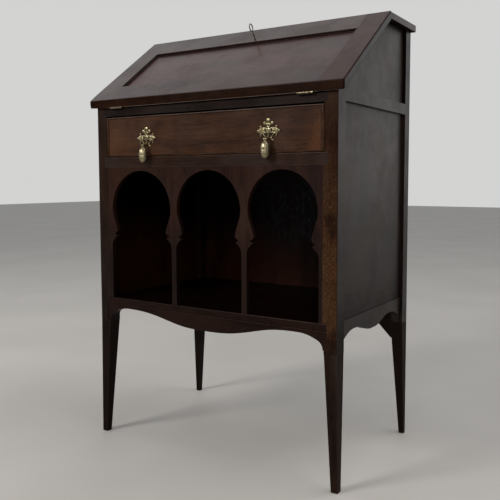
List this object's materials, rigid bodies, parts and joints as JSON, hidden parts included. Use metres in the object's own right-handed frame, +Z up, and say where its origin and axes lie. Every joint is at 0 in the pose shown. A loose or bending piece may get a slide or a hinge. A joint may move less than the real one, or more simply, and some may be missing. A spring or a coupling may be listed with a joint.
{
  "type": "slant-front writing desk",
  "caption": "Slant-front desk with a panelled fall, a drawer with brass drop handles, keyhole arches over an open shelf, shaped aprons and tapered legs.",
  "frame": {"origin": "middle of the base on the floor, under the centre of the whole desk's box", "axes": "+X to the right of the front, +Y from the front to the back, +Z up"},
  "size_m": [0.655, 0.4024, 0.96],
  "materials": {
    "mahogany_frame": "dark French polish, worn at the arrises",
    "mahogany_top": "dark French polish, glossy",
    "mahogany_side": "dark French polish, satin",
    "mahogany_drawer": "brown French polish with the grain across",
    "mahogany_shelf": "dark stain, polished",
    "back_wood": "dark stain, dull",
    "drawer_lining": "bare wood, waxed",
    "leather": "worn skiver",
    "brass": "aged, unlacquered",
    "steel": "darkened"
  },
  "bodies": {
    "case": {"arch_fret": "mahogany_frame", "back_panel": "back_wood", "drawer_rail": "mahogany_frame", "drawer_runner_left": "drawer_lining", "drawer_runner_right": "drawer_lining", "drawer_stops": "drawer_lining", "dust_board": "back_wood", "front_apron": "mahogany_frame", "front_leg_left": "mahogany_frame", "front_leg_right": "mahogany_frame", "hinge_fixed_leaf_left": "brass", "hinge_fixed_leaf_right": "brass", "lock_keeper": "brass", "pigeon_dividers": "mahogany_shelf", "pigeon_shelves": "mahogany_shelf", "rear_apron": "mahogany_frame", "rear_leg_left": "mahogany_frame", "rear_leg_right": "mahogany_frame", "shelf_board": "mahogany_shelf", "side_apron_left": "mahogany_frame", "side_apron_right": "mahogany_frame", "side_lining_left": "mahogany_shelf", "side_lining_right": "mahogany_shelf", "side_lower_panel_left": "mahogany_side", "side_lower_panel_right": "mahogany_side", "side_mid_rail_left": "mahogany_frame", "side_mid_rail_right": "mahogany_frame", "side_upper_panel_left": "mahogany_side", "side_upper_panel_right": "mahogany_side", "stay_case_brackets": "brass", "top_board": "mahogany_top", "top_front_rail": "mahogany_frame", "writing_bed": "mahogany_shelf"},
    "fall": {"fall_stile_left": "mahogany_top", "fall_stile_right": "mahogany_top", "fall_bottom_rail": "mahogany_top", "fall_top_rail": "mahogany_top", "fall_panel": "mahogany_top", "fall_moulding": "mahogany_top", "writing_inset": "leather", "hinge_moving_leaf_left": "brass", "hinge_moving_leaf_right": "brass", "lock_case": "brass", "stay_fall_brackets": "brass"},
    "drawer": {"drawer_front": "mahogany_drawer", "drawer_bead": "mahogany_drawer", "drawer_side_left": "drawer_lining", "drawer_side_right": "drawer_lining", "drawer_back": "drawer_lining", "drawer_bottom": "drawer_lining", "handle_plate_left": "brass", "handle_plate_right": "brass", "handle_bolts": "brass"},
    "drop_left": {"handle_drop_left": "brass"},
    "drop_right": {"handle_drop_right": "brass"},
    "key": {"door_key": "steel"},
    "bolt": {"lock_bolt": "steel"},
    "stay_case": {"stay_case_arms": "brass"},
    "stay_fall": {"stay_fall_arms": "brass"}
  },
  "joints": [
    {"name": "fall_hinge", "type": "hinge", "parent": "case", "child": "fall", "pos_m": [0, -0.18425, 0.7714], "axis": [1, 0, 0], "range_deg": [0, 142.94]},
    {"name": "drawer_slide", "type": "slide", "parent": "case", "child": "drawer", "axis": [0, -1, 0], "range_m": [0, 0.22]},
    {"name": "left_drop_swing", "type": "hinge", "parent": "drawer", "child": "drop_left", "pos_m": [-0.1605, -0.19085, 0.6834], "axis": [-1, 0, 0], "range_deg": [0, 80]},
    {"name": "right_drop_swing", "type": "hinge", "parent": "drawer", "child": "drop_right", "pos_m": [0.1605, -0.19085, 0.6869], "axis": [-1, 0, 0], "range_deg": [0, 80]},
    {"name": "key_turn", "type": "hinge", "parent": "fall", "child": "key", "pos_m": [0.014, 0.00708, 0.91589], "axis": [0, -0.6027, 0.798], "range_deg": [0, 90]},
    {"name": "bolt_slide", "type": "slide", "parent": "fall", "child": "bolt", "axis": [0, 0.798, 0.6027], "range_m": [0, 0.006]},
    {"name": "stay_case_turn", "type": "hinge", "parent": "case", "child": "stay_case", "pos_m": [0, -0.08425, 0.7804], "axis": [1, 0, 0], "range_deg": [0, 142.94]},
    {"name": "stay_fall_turn", "type": "hinge", "parent": "fall", "child": "stay_fall", "pos_m": [0, -0.07569, 0.84336], "axis": [1, 0, 0], "range_deg": [-142.94, 0]}
  ],
  "couplings": [
    {"joint": "key_turn", "follows": "bolt_slide", "rad_per_m": 261.7},
    {"joint": "stay_case_turn", "follows": "fall_hinge", "ratio": 1},
    {"joint": "stay_fall_turn", "follows": "fall_hinge", "ratio": -1}
  ]
}
